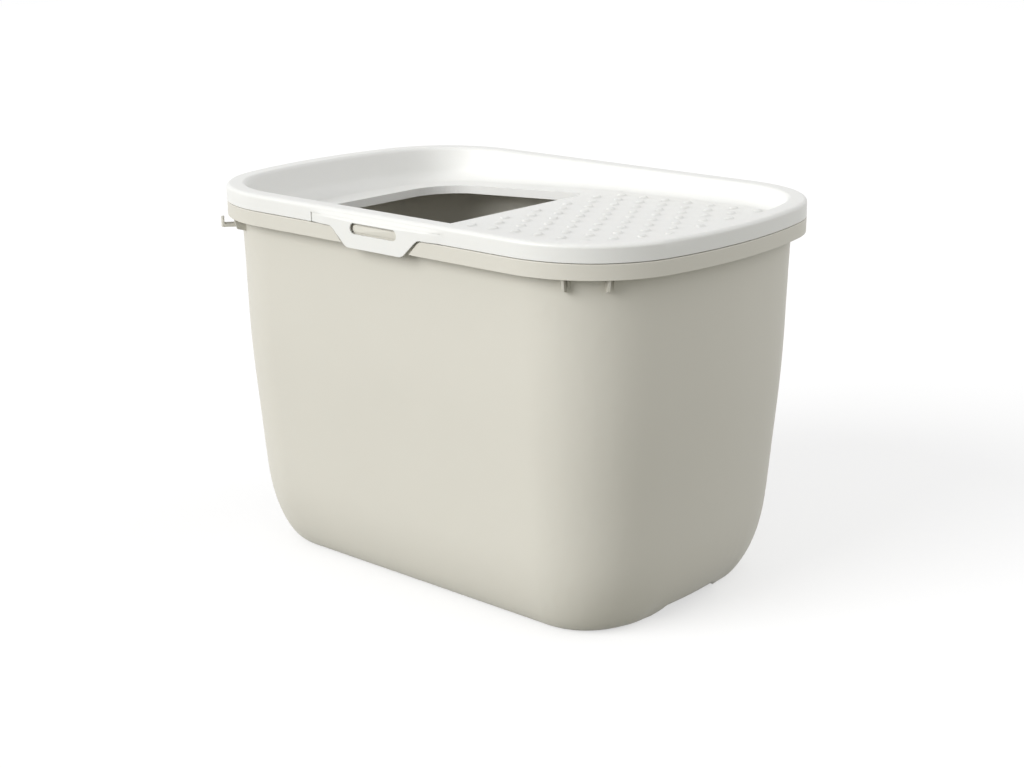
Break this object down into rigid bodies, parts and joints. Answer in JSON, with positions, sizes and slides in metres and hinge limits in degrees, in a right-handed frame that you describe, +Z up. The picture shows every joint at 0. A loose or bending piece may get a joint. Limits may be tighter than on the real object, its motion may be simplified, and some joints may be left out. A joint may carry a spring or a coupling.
{
  "type": "top entry litter box",
  "caption": "Deep tapered tub with a rim, closed by a dished lift-off lid that has an entry hole, a raised tread and two side tabs, with a clip-on scoop hook.",
  "frame": {"origin": "middle of the underside of the base, on the surface that the box stands on", "axes": "+X along the length towards the tread end of the lid, -Y towards the long side that faces the user, +Z up"},
  "size_m": [0.585, 0.394, 0.395],
  "materials": {
    "tub_plastic": "satin moulded polypropylene, warm grey beige",
    "lid_plastic": "satin moulded polypropylene, white"
  },
  "bodies": {
    "tub": {"tub": "tub_plastic", "scoop_hook": "tub_plastic"},
    "lid": {"lid": "lid_plastic"}
  },
  "joints": [
    {"name": "lid_lift", "type": "slide", "parent": "tub", "child": "lid", "axis": [0, 0, 1], "range_m": [0, 0.12]}
  ]
}
